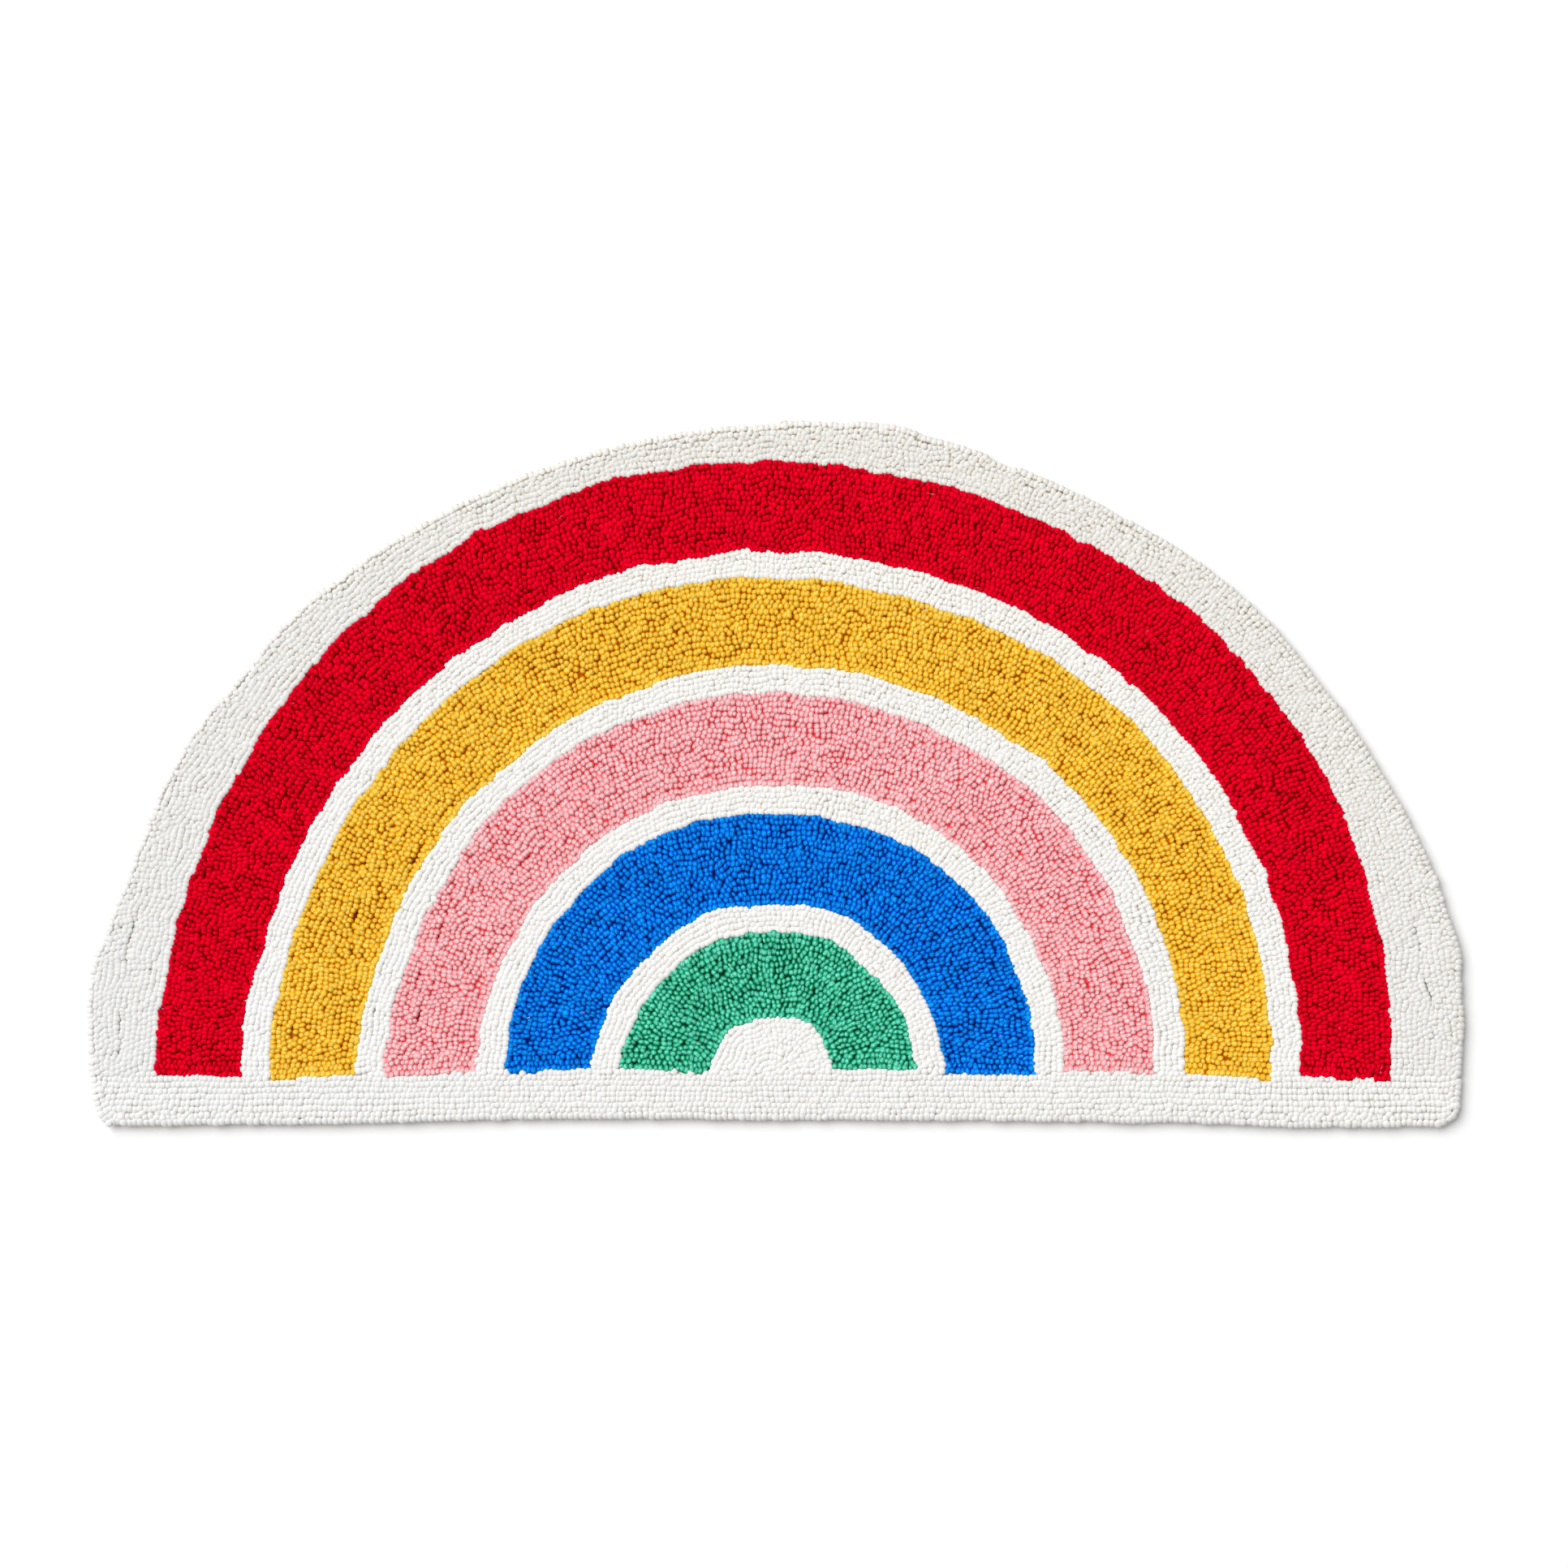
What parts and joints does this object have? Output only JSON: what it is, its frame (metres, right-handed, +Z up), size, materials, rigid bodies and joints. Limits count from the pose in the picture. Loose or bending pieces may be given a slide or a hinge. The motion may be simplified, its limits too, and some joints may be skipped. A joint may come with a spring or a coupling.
{
  "type": "hooked rug",
  "caption": "Half-round hooked rug with coloured concentric arches of looped yarn on an off-white ground, flat, with a straight base edge and rounded corners.",
  "frame": {"origin": "under the middle of the rug's bounding box, on the surface it lies on", "axes": "+X along the straight base edge, +Y from the base edge towards the crown of the arches, +Z up out of the pile"},
  "size_m": [0.9126, 0.4664, 0.0094],
  "materials": {
    "off_white_yarn": "matt spun yarn in short hooked loops",
    "red_yarn": "matt spun yarn in short hooked loops",
    "mustard_yarn": "matt spun yarn in short hooked loops",
    "pink_yarn": "matt spun yarn in short hooked loops",
    "blue_yarn": "matt spun yarn in short hooked loops",
    "green_yarn": "matt spun yarn in short hooked loops",
    "foundation": "plain woven unbleached cotton"
  },
  "bodies": {
    "root": {"rug": "off_white_yarn"}
  },
  "joints": []
}
